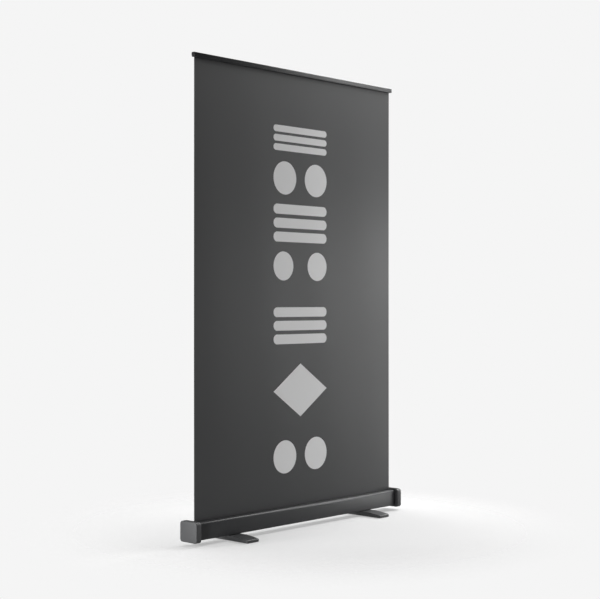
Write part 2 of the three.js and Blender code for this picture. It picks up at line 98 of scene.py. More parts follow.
def shade(name, description, *default):
    """A setting for a colour."""
    return FloatVectorProperty(name=name, description=description, default=default, subtype="COLOR")


def level(name, description, default):
    """A setting for a plain number."""
    return FloatProperty(name=name, description=description, default=default)


def count(name, description, default):
    """A setting for a whole number."""
    return IntProperty(name=name, description=description, default=default)


class SheetSettings(bpy.types.PropertyGroup):
    """Sizes and colours of the printed banner"""

    thickness: length("Thickness", "Thickness of the film", 0.4 * MM)
    bow: length("Bow", "How far the free side edges curl back", 0.6 * MM)
    ripple: length("Ripple", "Height of the soft waves in the film", 0.5 * MM)
    columns: count("Columns", "Mesh squares across the width", 96)
    rows: count("Rows", "Mesh squares up the height", 144)
    film: shade("Film", "Charcoal of the front", 0.036, 0.037, 0.0385)
    ink: shade("Ink", "Pale grey of the printed shapes", 0.87, 0.87, 0.87)
    back: shade("Back", "Grey of the light-stopping back", 0.42, 0.425, 0.43)


class BaseSettings(bpy.types.PropertyGroup):
    """Sizes and colours of the housing, its caps and the feet"""

    cap_corner: length("Cap corner", "Corner radius of an end cap", 12.5 * MM)
    cap_edge: length("Cap edge", "Rounding round the cap's outer face", 3.2 * MM)
    profile_edge: length("Profile edge", "Rounding of the extrusion's sharp edges", 0.35 * MM)
    foot_tip: length("Foot tip", "Rounding over the tip of a foot", 4.5 * MM)
    foot_edge: length("Foot edge", "Width of the rounding of a foot's long edges", 0.8 * MM)
    anodised: shade("Anodised", "Charcoal of the extrusions", 0.034, 0.035, 0.037)
    plastic: shade("Cap plastic", "Charcoal of the caps", 0.052, 0.053, 0.055)
    coat: shade("Coat", "Powder coat of the feet", 0.05, 0.051, 0.053)


class PoleSettings(bpy.types.PropertyGroup):
    """Sizes and colours of the pole and its fittings"""

    sides: count("Sides", "Facets round a tube", 64)
    flute_count: count("Grip flutes", "Flutes round a lock collar", 18)
    aluminium: shade("Aluminium", "Satin aluminium of the tubes", 0.62, 0.63, 0.65)
    nylon: shade("Nylon", "Black of the moulded fittings", 0.016, 0.016, 0.018)


class StageSettings(bpy.types.PropertyGroup):
    """Camera, floor and light"""

    lens: level("Lens", "Focal length in millimetres", 78.3)
    rise: level("Rise", "Upward shift of the picture, as a share of its width", 0.00236)
    turn: FloatProperty(
        name="Turn",
        description="Angle of the view from straight on",
        default=math.radians(47.2),
        subtype="ANGLE",
    )
    light: level("Light", "Share of the softboxes' full power", 1.0)
    ambient: level("Ambient", "Brightness of the room's light", 0.04)
    floor: shade("Floor", "Pale grey of the floor", 0.45, 0.45, 0.45)
    fade_from: length("Fade from", "Where the floor starts to fade out", 0.6)
    fade_to: length("Fade to", "Where the floor has faded out", 1.25)
    backdrop: level("Backdrop", "Brightness of the backdrop", 0.913)
    glow: level("Floor glow", "Glow of the floor as it is seen", 0.38)
    bounce: level("Floor bounce", "Glow of the floor that lights the stand", 0.01)


# ------------------------------------------------------------------ modelling helpers

def clear_selection():
    """Leaves object mode with nothing selected."""
    if bpy.context.object and bpy.context.object.mode != "OBJECT":
        bpy.ops.object.mode_set(mode="OBJECT")
    bpy.ops.object.select_all(action="DESELECT")


def pick(piece):
    """Selects one piece and makes it active."""
    clear_selection()
    piece.select_set(True)
    bpy.context.view_layer.objects.active = piece


def settle(piece):
    """Puts a piece's place, turn and size into its mesh."""
    pick(piece)
    bpy.ops.object.transform_apply(location=True, rotation=True, scale=True)


def edit(piece, kind="VERT"):
    """Opens a piece for editing with nothing selected."""
    pick(piece)
    bpy.ops.object.mode_set(mode="EDIT")
    bpy.ops.mesh.select_mode(type=kind)
    bpy.ops.mesh.select_all(action="DESELECT")


def close():
    """Ends editing."""
    bpy.ops.object.mode_set(mode="OBJECT")


def choose(piece, kind, wanted):
    """Opens a piece and selects the vertices or edges that pass a test on their place."""
    edit(piece, kind)
    close()
    mesh = piece.data
    if kind == "EDGE":
        for line in mesh.edges:
            a, b = (mesh.vertices[i].co for i in line.vertices)
            line.select = wanted(a, b)
    else:
        for point in mesh.vertices:
            point.select = wanted(point.co)
    bpy.ops.object.mode_set(mode="EDIT")


def bevel_edges(piece, offset, segments, wanted):
    """Rounds the edges whose two ends pass a test."""
    choose(piece, "EDGE", wanted)
    bpy.ops.mesh.bevel(offset=offset, segments=segments)
    close()


def block(name, low, high):
    """A box between two corners."""
    clear_selection()
    low, high = Vector(low), Vector(high)
    bpy.ops.mesh.primitive_cube_add(size=1, location=(low + high) / 2)
    piece = bpy.context.object
    piece.name = name
    piece.scale = high - low
    settle(piece)
    return piece


def turned(name, stations, centre=(0, 0, 0), along="Z", sides=64):
    """A round piece: a circle extruded from station to station, each (radius, height)."""
    clear_selection()
    radius, height = stations[0]
    bpy.ops.mesh.primitive_circle_add(vertices=sides, radius=radius, location=(0, 0, height))
    piece = bpy.context.object
    piece.name = name
    bpy.ops.object.transform_apply(location=True, rotation=True, scale=True)
    bpy.ops.object.mode_set(mode="EDIT")
    bpy.ops.mesh.select_all(action="SELECT")
    closed = stations[0] == stations[-1]
    if not closed:
        bpy.ops.mesh.edge_face_add()
        bpy.ops.mesh.select_mode(type="EDGE")
    for next_radius, next_height in stations[1:]:
        bpy.ops.mesh.extrude_edges_move(
            TRANSFORM_OT_translate={"value": (0, 0, next_height - height)}
        )
        share = next_radius / radius
        bpy.ops.transform.resize(value=(share, share, 1), center_override=(0, 0, next_height))
        radius, height = next_radius, next_height
    if not closed:
        bpy.ops.mesh.edge_face_add()
    bpy.ops.mesh.select_all(action="SELECT")
    bpy.ops.mesh.remove_doubles(threshold=1e-7)
    bpy.ops.mesh.normals_make_consistent(inside=False)
    close()
    if along == "X":
        piece.rotation_euler = (0, math.pi / 2, 0)
    piece.location = centre
    settle(piece)
    return piece


def rod(name, radius, low, high, centre, sides=64):
    """A plain round rod between two heights, or a prism when it has few sides."""
    return turned(name, [(radius, low), (radius, high)], (centre.x, centre.y, 0), sides=sides)


def ring(name, inner, outer, low, high, soft, centre, sides=64):
    """A tube or washer with its two outer edges taken off."""
    stations = [
        (inner, low),
        (outer - soft, low),
        (outer, low + soft),
        (outer, high - soft),
        (outer - soft, high),
        (inner, high),
        (inner, low),
    ]
    return turned(name, stations, (centre.x, centre.y, 0), sides=sides)


def copied(node, name):
    """A merged copy of a frame node, with its flat faces made whole."""
    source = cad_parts[node]
    clear_selection()
    piece = bpy.data.objects.new(name, source.data.copy())
    bpy.context.collection.objects.link(piece)
    piece.data.materials.clear()
    edit(piece)
    bpy.ops.mesh.select_all(action="SELECT")
    bpy.ops.mesh.remove_doubles(threshold=2e-6)
    bpy.ops.mesh.dissolve_limited(angle_limit=math.radians(0.5))
    close()
    return piece


def applied(piece, kind, **values):
    """Adds a modifier and applies it."""
    pick(piece)
    modifier = piece.modifiers.new(kind.title(), kind)
    for key, value in values.items():
        setattr(modifier, key, value)
    bpy.ops.object.modifier_apply(modifier=modifier.name)
    return piece


def rounded(piece, width, segments=3, angle=30):
    """Rounds a piece's sharp edges."""
    return applied(
        piece,
        "BEVEL",
        width=width,
        segments=segments,
        limit_method="ANGLE",
        angle_limit=math.radians(angle),
        harden_normals=False,
    )


def carve(piece, *cutters):
    """Cuts each cutter out of a piece."""
    for cutter in cutters:
        applied(piece, "BOOLEAN", operation="DIFFERENCE", solver="EXACT", object=cutter)
        bpy.data.objects.remove(cutter)
    return piece


def weld(piece, *others):
    """Joins other solids to a piece."""
    for other in others:
        applied(piece, "BOOLEAN", operation="UNION", solver="EXACT", object=other)
        bpy.data.objects.remove(other)
    return piece


def smooth(piece, angle=35):
    """Shades a piece smooth up to an angle."""
    pick(piece)
    bpy.ops.object.shade_smooth_by_angle(angle=math.radians(angle))
    return piece


def place(piece, body, slot, material, *nodes):
    """Gives a piece its body, finish and the frame nodes it stands for."""
    piece.data.materials.clear()
    piece.data.materials.append(material)
    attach(piece, body)
    if nodes:
        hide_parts(*nodes)
    return piece


def finish_nodes(material, *nodes):
    """Gives frame nodes a material in place of their plain one."""
    for node in nodes:
        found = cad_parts[node]
        found.data.materials.clear()
        found.data.materials.append(material)


# ------------------------------------------------------------------ shader helpers

def add_node(tree, kind, **values):
    """A shader node with its settings and input values."""
    made = tree.nodes.new(kind)
    for key, value in values.items():
        if key in made.inputs:
            made.inputs[key].default_value = value
        else:
            setattr(made, key, value)
    return made


def math_node(tree, operation, a, b=0.0, c=0.0):
    """A Math node fed by sockets or numbers; returns its output."""
    made = tree.nodes.new("ShaderNodeMath")
    made.operation = operation
    for socket, value in zip(made.inputs, (a, b, c)):
        if isinstance(value, (int, float)):
            socket.default_value = value
        else:
            tree.links.new(value, socket)
    return made.outputs[0]


def new_group(name, inputs, outputs):
    """An empty shader node group with named sockets."""
    tree = bpy.data.node_groups.new(name, "ShaderNodeTree")
    for label, kind, value in inputs:
        socket = tree.interface.new_socket(label, in_out="INPUT", socket_type=kind)
        if value is not None:
            socket.default_value = value
    for label, kind in outputs:
        tree.interface.new_socket(label, in_out="OUTPUT", socket_type=kind)
    return tree, tree.nodes.new("NodeGroupInput"), tree.nodes.new("NodeGroupOutput")


FLOAT, VECTOR, COLOUR = "NodeSocketFloat", "NodeSocketVector", "NodeSocketColor"


def grain_group():
    """Fine grain: an even, small-scale mottling for mouldings and coats."""
    if "Fine grain" in bpy.data.node_groups:
        return bpy.data.node_groups["Fine grain"]
    tree, source, result = new_group(
        "Fine grain",
        [("Vector", VECTOR, None), ("Scale", FLOAT, 900.0), ("Detail", FLOAT, 3.0)],
        [("Height", FLOAT)],
    )
    noise = add_node(tree, "ShaderNodeTexNoise", Roughness=0.6)
    tree.links.new(source.outputs["Vector"], noise.inputs["Vector"])
    tree.links.new(source.outputs["Scale"], noise.inputs["Scale"])
    tree.links.new(source.outputs["Detail"], noise.inputs["Detail"])
    tree.links.new(noise.outputs["Fac"], result.inputs["Height"])
    return tree


def lines_group():
    """Brushed lines: fine scratches drawn out along one direction."""
    if "Brushed lines" in bpy.data.node_groups:
        return bpy.data.node_groups["Brushed lines"]
    tree, source, result = new_group(
        "Brushed lines",
        [("Vector", VECTOR, None), ("Stretch", VECTOR, (2.0, 900.0, 900.0))],
        [("Height", FLOAT)],
    )
    scaled = add_node(tree, "ShaderNodeVectorMath", operation="MULTIPLY")
    noise = add_node(tree, "ShaderNodeTexNoise", Scale=1.0, Detail=2.0, Roughness=0.7)
    tree.links.new(source.outputs["Vector"], scaled.inputs[0])
    tree.links.new(source.outputs["Stretch"], scaled.inputs[1])
    tree.links.new(scaled.outputs["Vector"], noise.inputs["Vector"])
    tree.links.new(noise.outputs["Fac"], result.inputs["Height"])
    return tree


def handling_group():
    """Handling: broad soft smudges and a little dust on what faces up."""
    if "Handling" in bpy.data.node_groups:
        return bpy.data.node_groups["Handling"]
    tree, source, result = new_group(
        "Handling",
        [
            ("Vector", VECTOR, None),
            ("Normal", VECTOR, None),
            ("Colour", COLOUR, (0.05, 0.05, 0.05, 1)),
            ("Roughness", FLOAT, 0.45),
            ("Smudge", FLOAT, 0.06),
            ("Dust", FLOAT, 0.1),
        ],
        [("Colour", COLOUR), ("Roughness", FLOAT)],
    )
    broad = add_node(tree, "ShaderNodeTexNoise", Scale=9.0, Detail=4.0, Roughness=0.55)
    tree.links.new(source.outputs["Vector"], broad.inputs["Vector"])
    centred = math_node(tree, "SUBTRACT", broad.outputs["Fac"], 0.5)
    swing = math_node(tree, "MULTIPLY", centred, source.outputs["Smudge"])
    rough = math_node(tree, "MULTIPLY_ADD", swing, 2.0, source.outputs["Roughness"])
    split = add_node(tree, "ShaderNodeSeparateXYZ")
    tree.links.new(source.outputs["Normal"], split.inputs["Vector"])
    upward = math_node(tree, "MAXIMUM", split.outputs["Z"], 0.0)
    specks = add_node(tree, "ShaderNodeTexNoise", Scale=160.0, Detail=5.0, Roughness=0.7)
    tree.links.new(source.outputs["Vector"], specks.inputs["Vector"])
    speckled = math_node(tree, "MULTIPLY", upward, specks.outputs["Fac"])
    amount = math_node(tree, "MULTIPLY", speckled, source.outputs["Dust"])
    dusty = add_node(tree, "ShaderNodeMix", data_type="RGBA")
    tree.links.new(amount, dusty.inputs[0])
    tree.links.new(source.outputs["Colour"], dusty.inputs[6])
    dusty.inputs[7].default_value = (0.45, 0.44, 0.42, 1)
    tree.links.new(dusty.outputs[2], result.inputs["Colour"])
    tree.links.new(rough, result.inputs["Roughness"])
    return tree


def place_group(tree, group, **values):
    """Places a node group in a material with its own values."""
    made = tree.nodes.new("ShaderNodeGroup")
    made.node_tree = group
    for key, value in values.items():
        made.inputs[key].default_value = value
    return made


def surface(name, colour, roughness, metallic=0.0, smudge=0.05, dust=0.05, **shader_values):
    """A material with handling marks; returns (material, tree, coordinates, shader)."""
    material = bpy.data.materials.new(name)
    material.use_nodes = True
    tree = material.node_tree
    tree.nodes.clear()
    output = tree.nodes.new("ShaderNodeOutputMaterial")
    shader = add_node(tree, "ShaderNodeBsdfPrincipled", Metallic=metallic, **shader_values)
    coordinates = tree.nodes.new("ShaderNodeTexCoord")
    handling = place_group(tree, handling_group(), Roughness=roughness, Smudge=smudge, Dust=dust)
    handling.name = "Handling"
    handling.inputs["Colour"].default_value = (*colour, 1)
    tree.links.new(coordinates.outputs["Object"], handling.inputs["Vector"])
    tree.links.new(coordinates.outputs["Normal"], handling.inputs["Normal"])
    tree.links.new(handling.outputs["Colour"], shader.inputs["Base Color"])
    tree.links.new(handling.outputs["Roughness"], shader.inputs["Roughness"])
    tree.links.new(shader.outputs["BSDF"], output.inputs["Surface"])
    return material, tree, coordinates, shader


def bump(tree, shader, height, strength, distance):
    """Feeds a height into the shader's normal."""
    made = add_node(tree, "ShaderNodeBump", Strength=strength, Distance=distance)
    tree.links.new(height, made.inputs["Height"])
    tree.links.new(made.outputs["Normal"], shader.inputs["Normal"])
    return made


def grained(name, colour, roughness, scale, strength, distance, **values):
    """A moulded or coated finish with fine grain."""
    material, tree, coordinates, shader = surface(name, colour, roughness, **values)
    grain = place_group(tree, grain_group(), Scale=scale)
    tree.links.new(coordinates.outputs["Object"], grain.inputs["Vector"])
    bump(tree, shader, grain.outputs["Height"], strength, distance)
    return material


def brushed(name, colour, roughness, stretch, strength, distance, **values):
    """A drawn or brushed metal finish."""
    material, tree, coordinates, shader = surface(name, colour, roughness, **values)
    lines = place_group(tree, lines_group(), Stretch=stretch)
    tree.links.new(coordinates.outputs["Object"], lines.inputs["Vector"])
    bump(tree, shader, lines.outputs["Height"], strength, distance)
    return material


def once(make):
    """Makes a material the first time it is asked for, then hands out the same one."""
    kept = []

    def get():
        if not kept:
            kept.append(make())
        return kept[0]

    return get


# ------------------------------------------------------------------ materials

@once
def dark_anodised():
    """Charcoal anodising over fine extrusion lines."""
    return brushed(
        "Dark anodised",
        bpy.context.scene.stand_base.anodised,
        roughness=0.4,
        stretch=(3.0, 1400.0, 1400.0),
        strength=0.25,
        distance=0.05 * MM,
        smudge=0.05,
        dust=0.02,
    )


@once
def cap_plastic():
    """Charcoal satin moulding."""
    return grained(
        "Cap plastic",
        bpy.context.scene.stand_base.plastic,
        roughness=0.42,
        scale=1500.0,
        strength=0.3,
        distance=0.05 * MM,
        dust=0.02,
    )


@once
def powder_coat():
    """Fine orange-peel powder coat."""
    return grained(
        "Powder coat",
        bpy.context.scene.stand_base.coat,
        roughness=0.42,
        scale=700.0,
        strength=0.4,
        distance=0.08 * MM,
        dust=0.02,
    )


@once
def satin_aluminium():
    """Natural satin aluminium, drawn along the pole."""
    return brushed(
        "Satin aluminium",
        bpy.context.scene.stand_pole.aluminium,
        roughness=0.32,
        stretch=(900.0, 900.0, 3.0),
        strength=0.3,
        distance=0.03 * MM,
        metallic=1.0,
        smudge=0.08,
    )


@once
def zinc_plate():
    """Bright zinc plate with a faint mottle."""
    return grained(
        "Zinc plate",
        (0.55, 0.56, 0.58),
        roughness=0.3,
        scale=220.0,
        strength=0.2,
        distance=0.04 * MM,
        metallic=1.0,
        smudge=0.12,
    )


@once
def spring_wire():
    """Oiled dark spring wire."""
    return grained(
        "Spring wire",
        (0.22, 0.22, 0.24),
        roughness=0.32,
        scale=500.0,
        strength=0.2,
        distance=0.03 * MM,
        metallic=1.0,
    )


@once
def black_nylon():
    """Black moulded nylon."""
    return grained(
        "Black nylon",
        bpy.context.scene.stand_pole.nylon,
        roughness=0.46,
        scale=1300.0,
        strength=0.35,
        distance=0.06 * MM,
        dust=0.03,
    )


@once
def pad_rubber():
    """Matt black rubber."""
    return grained(
        "Pad rubber",
        (0.013, 0.013, 0.013),
        roughness=0.8,
        scale=600.0,
        strength=0.6,
        distance=0.15 * MM,
        dust=0.1,
    )


@once
def leader_film():
    """Plain grey film of the leader and the rolled tail."""
    return grained(
        "Leader film",
        (0.5, 0.505, 0.5),
        roughness=0.5,
        scale=300.0,
        strength=0.2,
        distance=0.05 * MM,
        smudge=0.04,
    )


# The printed column, in metres: its middle and width across the sheet, then each row of shapes
# with the heights of its lower and upper edge.
COLUMN_MIDDLE = 0.0085
COLUMN_WIDTH = 0.335
PRINT = [
    ("discs", 0.221, 0.388),
    ("lozenge", 0.470, 0.697),
    ("bars", 0.774, 0.946),
    ("discs", 1.040, 1.186),
    ("bars", 1.207, 1.383),
    ("discs", 1.396, 1.576),
    ("bars", 1.595, 1.713),
]
BARS = 3
BAR_SHARE = 0.72  # of the height that each bar has to itself
DISC_SHARE = 0.84  # of the row's height, or of half the column's width if that is less


def from_centre(tree, across, up, x, z):
    """How far a point lies from a centre, along each direction."""
    along_x = math_node(tree, "ABSOLUTE", math_node(tree, "SUBTRACT", across, x))
    along_z = math_node(tree, "ABSOLUTE", math_node(tree, "SUBTRACT", up, z))
    return along_x, along_z


def capsule(tree, across, up, x, z, half_length, radius):
    """A bar with round ends; a disc when its half length is its radius."""
    along_x, along_z = from_centre(tree, across, up, x, z)
    past = math_node(tree, "MAXIMUM", math_node(tree, "SUBTRACT", along_x, half_length - radius), 0.0)
    past_squared = math_node(tree, "MULTIPLY", past, past)
    squared = math_node(tree, "MULTIPLY_ADD", along_z, along_z, past_squared)
    return math_node(tree, "LESS_THAN", squared, radius**2)


def lozenge(tree, across, up, x, z, half_width, half_height):
    """A diamond lying on its side."""
    along_x, along_z = from_centre(tree, across, up, x, z)
    share_x = math_node(tree, "DIVIDE", along_x, half_width)
    share_z = math_node(tree, "DIVIDE", along_z, half_height)
    return math_node(tree, "LESS_THAN", math_node(tree, "ADD", share_x, share_z), 1.0)


def print_masks(tree, across, up):
    """One mask for each plain shape in the printed column."""
    half = COLUMN_WIDTH / 2
    for shape, low, high in PRINT:
        height = high - low
        middle_z = (low + high) / 2
        if shape == "lozenge":
            yield lozenge(tree, across, up, COLUMN_MIDDLE, middle_z, half, height / 2)
        elif shape == "discs":
            radius = DISC_SHARE * min(height, half) / 2
            for side in (-1, 1):
                x = COLUMN_MIDDLE + side * (half - radius)
                yield capsule(tree, across, up, x, middle_z, radius, radius)
        else:
            pitch = height / BARS
            for bar in range(BARS):
                z = low + (bar + 0.5) * pitch
                yield capsule(tree, across, up, COLUMN_MIDDLE, z, half, BAR_SHARE * pitch / 2)


@once
def printed_film():
    """Charcoal satin film with a column of plain shapes in pale ink."""
    sheet = bpy.context.scene.stand_sheet
    material, tree, coordinates, shader = surface(
        "Printed film", sheet.film, roughness=0.46, smudge=0.02, dust=0.0
    )
    pattern = add_node(tree, "ShaderNodeUVMap", uv_map="Flat")
    split = add_node(tree, "ShaderNodeSeparateXYZ")
    tree.links.new(pattern.outputs["UV"], split.inputs["Vector"])
    across, up = split.outputs["X"], split.outputs["Y"]
    mask = None
    for shape in print_masks(tree, across, up):
        mask = shape if mask is None else math_node(tree, "MAXIMUM", mask, shape)
    inked = add_node(tree, "ShaderNodeMix", data_type="RGBA")
    tree.links.new(mask, inked.inputs[0])
    inked.inputs[6].default_value = (*sheet.film, 1)
    inked.inputs[7].default_value = (*sheet.ink, 1)
    tree.links.new(inked.outputs[2], tree.nodes["Handling"].inputs["Colour"])
    grain = place_group(tree, grain_group(), Scale=1200.0)
    tree.links.new(coordinates.outputs["Object"], grain.inputs["Vector"])
    bump(tree, shader, grain.outputs["Height"], strength=0.15, distance=0.03 * MM)
    return material


@once
def film_back():
    """The sheet's grey light-stopping back."""
    return grained(
        "Film back",
        bpy.context.scene.stand_sheet.back,
        roughness=0.6,
        scale=900.0,
        strength=0.2,
        distance=0.03 * MM,
        smudge=0.03,
    )


# ------------------------------------------------------------------ operators: stage

CAMERA_PLACE = (-4.102, -3.801, 0.965)


class STAND_OT_camera(bpy.types.Operator):
    """Set up the camera: level, to the left of the printed face"""

    bl_idname = "stand.camera"
    bl_label = "Camera"

    def execute(self, context):
        stage = context.scene.stand_stage
        bpy.ops.object.camera_add(
            location=CAMERA_PLACE, rotation=(math.pi / 2, 0, -stage.turn)
        )
        camera = context.object
        camera.name = "camera"
        camera.data.lens = stage.lens
        camera.data.shift_y = stage.rise
        context.scene.camera = camera
        return {"FINISHED"}


# Softboxes: name, place, the point it is aimed at, width, height and full power in watts.
SOFTBOXES = (
    ("left_softbox", (-2.4, 0.9, 0.5), (-0.6, 0.0, 0.1), 1.2, 0.7, 42.0),
    ("left_strip", (-2.3, -0.45, 0.15), (-0.4, -0.1, 0.02), 0.5, 0.2, 22.0),
    ("right_softbox", (2.4, 0.3, 1.6), (0.2, 0.0, 0.1), 1.0, 1.0, 14.0),
    ("right_strip", (2.2, -1.0, 0.25), (0.3, 0.0, 0.05), 1.2, 0.4, 9.0),
    ("tall_softbox", (2.4, -0.5, 1.3), (0.5, 0.0, 0.9), 0.5, 2.6, 21.0),
    ("front_softbox", (2.6, -2.2, 1.1), (0.5, 0.0, 1.0), 1.2, 3.4, 9.0),
    ("high_softbox", (2.8, -1.6, 2.6), (0.4, 0.0, 1.6), 1.4, 1.4, 15.0),
    ("top_right_softbox", (1.8, -0.3, 3.0), (0.3, 0.0, 0.3), 1.2, 1.2, 60.0),
    ("top_softbox", (0.0, 1.0, 3.6), (0.0, 0.0, 0.0), 3.0, 3.0, 60.0),
    ("rear_softbox", (0.0, 2.0, 3.0), (0.0, 0.0, 0.2), 3.0, 1.5, 12.0),
)


def softbox(name, place_at, aim, width, height, power):
    """A soft rectangular light aimed at a point."""
    bpy.ops.object.light_add(type="AREA", location=place_at)
    lamp = bpy.context.object
    lamp.name = name
    lamp.data.shape = "RECTANGLE"
    lamp.data.size = width
    lamp.data.size_y = height
    lamp.data.energy = power
    lamp.visible_camera = False
    lamp.rotation_euler = (Vector(aim) - Vector(place_at)).to_track_quat("-Z", "Z").to_euler()


def floor_material(stage):
    """Pale, softly glowing floor that fades out away from the stand and is clear from below."""
    material = bpy.data.materials.new("Studio floor")
    material.use_nodes = True
    tree = material.node_tree
    tree.nodes.clear()
    output = tree.nodes.new("ShaderNodeOutputMaterial")
    matt = add_node(tree, "ShaderNodeBsdfDiffuse", Color=(*stage.floor, 1))
    glow = tree.nodes.new("ShaderNodeEmission")
    rays = tree.nodes.new("ShaderNodeLightPath")
    extra = stage.glow - stage.bounce
    seen = math_node(tree, "MULTIPLY_ADD", rays.outputs["Is Camera Ray"], extra, stage.bounce)
    tree.links.new(seen, glow.inputs["Strength"])
    lit = tree.nodes.new("ShaderNodeAddShader")
    clear = tree.nodes.new("ShaderNodeBsdfTransparent")
    coordinates = tree.nodes.new("ShaderNodeTexCoord")
    distance = add_node(tree, "ShaderNodeVectorMath", operation="LENGTH")
    fade = add_node(tree, "ShaderNodeMapRange", interpolation_type="SMOOTHSTEP")
    fade.inputs["From Min"].default_value = stage.fade_from
    fade.inputs["From Max"].default_value = stage.fade_to
    mix = tree.nodes.new("ShaderNodeMixShader")
    side = tree.nodes.new("ShaderNodeNewGeometry")
    hidden = math_node(tree, "MAXIMUM", fade.outputs["Result"], side.outputs["Backfacing"])
    tree.links.new(coordinates.outputs["Object"], distance.inputs[0])
    tree.links.new(distance.outputs["Value"], fade.inputs["Value"])
    tree.links.new(hidden, mix.inputs[0])
    tree.links.new(matt.outputs["BSDF"], lit.inputs[0])
    tree.links.new(glow.outputs["Emission"], lit.inputs[1])
    tree.links.new(lit.outputs["Shader"], mix.inputs[1])
    tree.links.new(clear.outputs["BSDF"], mix.inputs[2])
    tree.links.new(mix.outputs["Shader"], output.inputs["Surface"])
    return material


def backdrop(scene, stage):
    """A bright even backdrop that lights the stand only faintly."""
    world = bpy.data.worlds.new("Studio")
    scene.world = world
    world.use_nodes = True
    tree = world.node_tree
    tree.nodes.clear()
    output = tree.nodes.new("ShaderNodeOutputWorld")
    white = (1, 1, 1, 1)
    seen = add_node(tree, "ShaderNodeBackground", Color=white, Strength=stage.backdrop)
    lit = add_node(tree, "ShaderNodeBackground", Color=white, Strength=stage.ambient)
    rays = tree.nodes.new("ShaderNodeLightPath")
    mix = tree.nodes.new("ShaderNodeMixShader")
    tree.links.new(rays.outputs["Is Camera Ray"], mix.inputs[0])
    tree.links.new(lit.outputs["Background"], mix.inputs[1])
    tree.links.new(seen.outputs["Background"], mix.inputs[2])
    tree.links.new(mix.outputs["Shader"], output.inputs["Surface"])


class STAND_OT_stage(bpy.types.Operator):
    """Lay the pale floor and set the soft studio light"""

    bl_idname = "stand.stage"
    bl_label = "Floor and light"

    def execute(self, context):
        stage = context.scene.stand_stage
        clear_selection()
        bpy.ops.mesh.primitive_circle_add(vertices=96, radius=8, fill_type="NGON")
        floor = context.object
        floor.name = "studio_floor"
        floor.data.materials.append(floor_material(stage))
        for name, place_at, aim, width, height, power in SOFTBOXES:
            softbox(name, place_at, aim, width, height, power * stage.light)
        backdrop(context.scene, stage)
        context.scene.view_settings.view_transform = "Standard"
        return {"FINISHED"}


# ------------------------------------------------------------------ operators: base

class STAND_OT_housing(bpy.types.Operator):
    """Make the base extrusion with its slot, lips and screw channels"""

    bl_idname = "stand.housing"
    bl_label = "Base housing"

    def execute(self, context):
        piece = copied("base_housing", "housing_profile")
        rounded(piece, context.scene.stand_base.profile_edge, segments=2, angle=40)
        smooth(piece, 30)
        place(piece, "base", "dark_anodised", dark_anodised(), "base_housing")
        return {"FINISHED"}


class STAND_OT_end_caps(bpy.types.Operator):
    """Make the two rounded end caps with the pockets that take the housing"""

    bl_idname = "stand.end_caps"
    bl_label = "End caps"

    def execute(self, context):
        for side_name in SIDE_NAMES:
            self.cap(context.scene.stand_base, side_name)
        return {"FINISHED"}

    def cap(self, base, side_name):
        """A shell with round corners, its outer face softest."""
        node = f"{side_name}_end_cap"
        low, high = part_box(node)
        half_width = 0.5 * (high.x - low.x)
        outer, inner = (low.x, high.x) if side_name == "left" else (high.x, low.x)
        inner_edge = 0.8 * MM
        piece = block(f"{side_name}_cap_shell", low, high)
        bevel_edges(piece, base.cap_corner, 12, lambda a, b: abs(a.x - b.x) > half_width)
        bevel_edges(piece, base.cap_edge, 6, lambda a, b: on(outer, a.x, b.x))
        bevel_edges(piece, inner_edge, 3, lambda a, b: on(inner, a.x, b.x))
        carve(piece, self.pocket(inner, side_name), self.grub_hole(side_name))
        smooth(piece, 40)
        place(piece, "base", "cap_plastic", cap_plastic(), node)

    def pocket(self, mouth, side_name):
        """The space inside a cap that the housing slides into."""
        gap = 0.3 * MM
        depth = 20 * MM
        past_mouth = 1 * MM
        corner = 3 * MM
        inward = -1 if side_name == "left" else 1
        low_x, high_x = sorted((mouth - inward * past_mouth, mouth + inward * depth))
        cutter = block(
            "pocket_cutter",
            (low_x, HOUSING_LOW.y - gap, HOUSING_LOW.z - gap),
            (high_x, HOUSING_HIGH.y + gap, HOUSING_HIGH.z + gap),
        )
        bevel_edges(cutter, corner, 5, lambda a, b: abs(a.x - b.x) > depth / 2)
        return cutter

    def grub_hole(self, side_name):
        """The hole for the grub screw in a cap's underside."""
        centre = middle(f"{side_name}_cap_grub_screw")
        radius = 2.8 * MM
        reach = 8 * MM
        return rod("grub_cutter", radius, centre.z - reach, centre.z + reach, centre, sides=32)


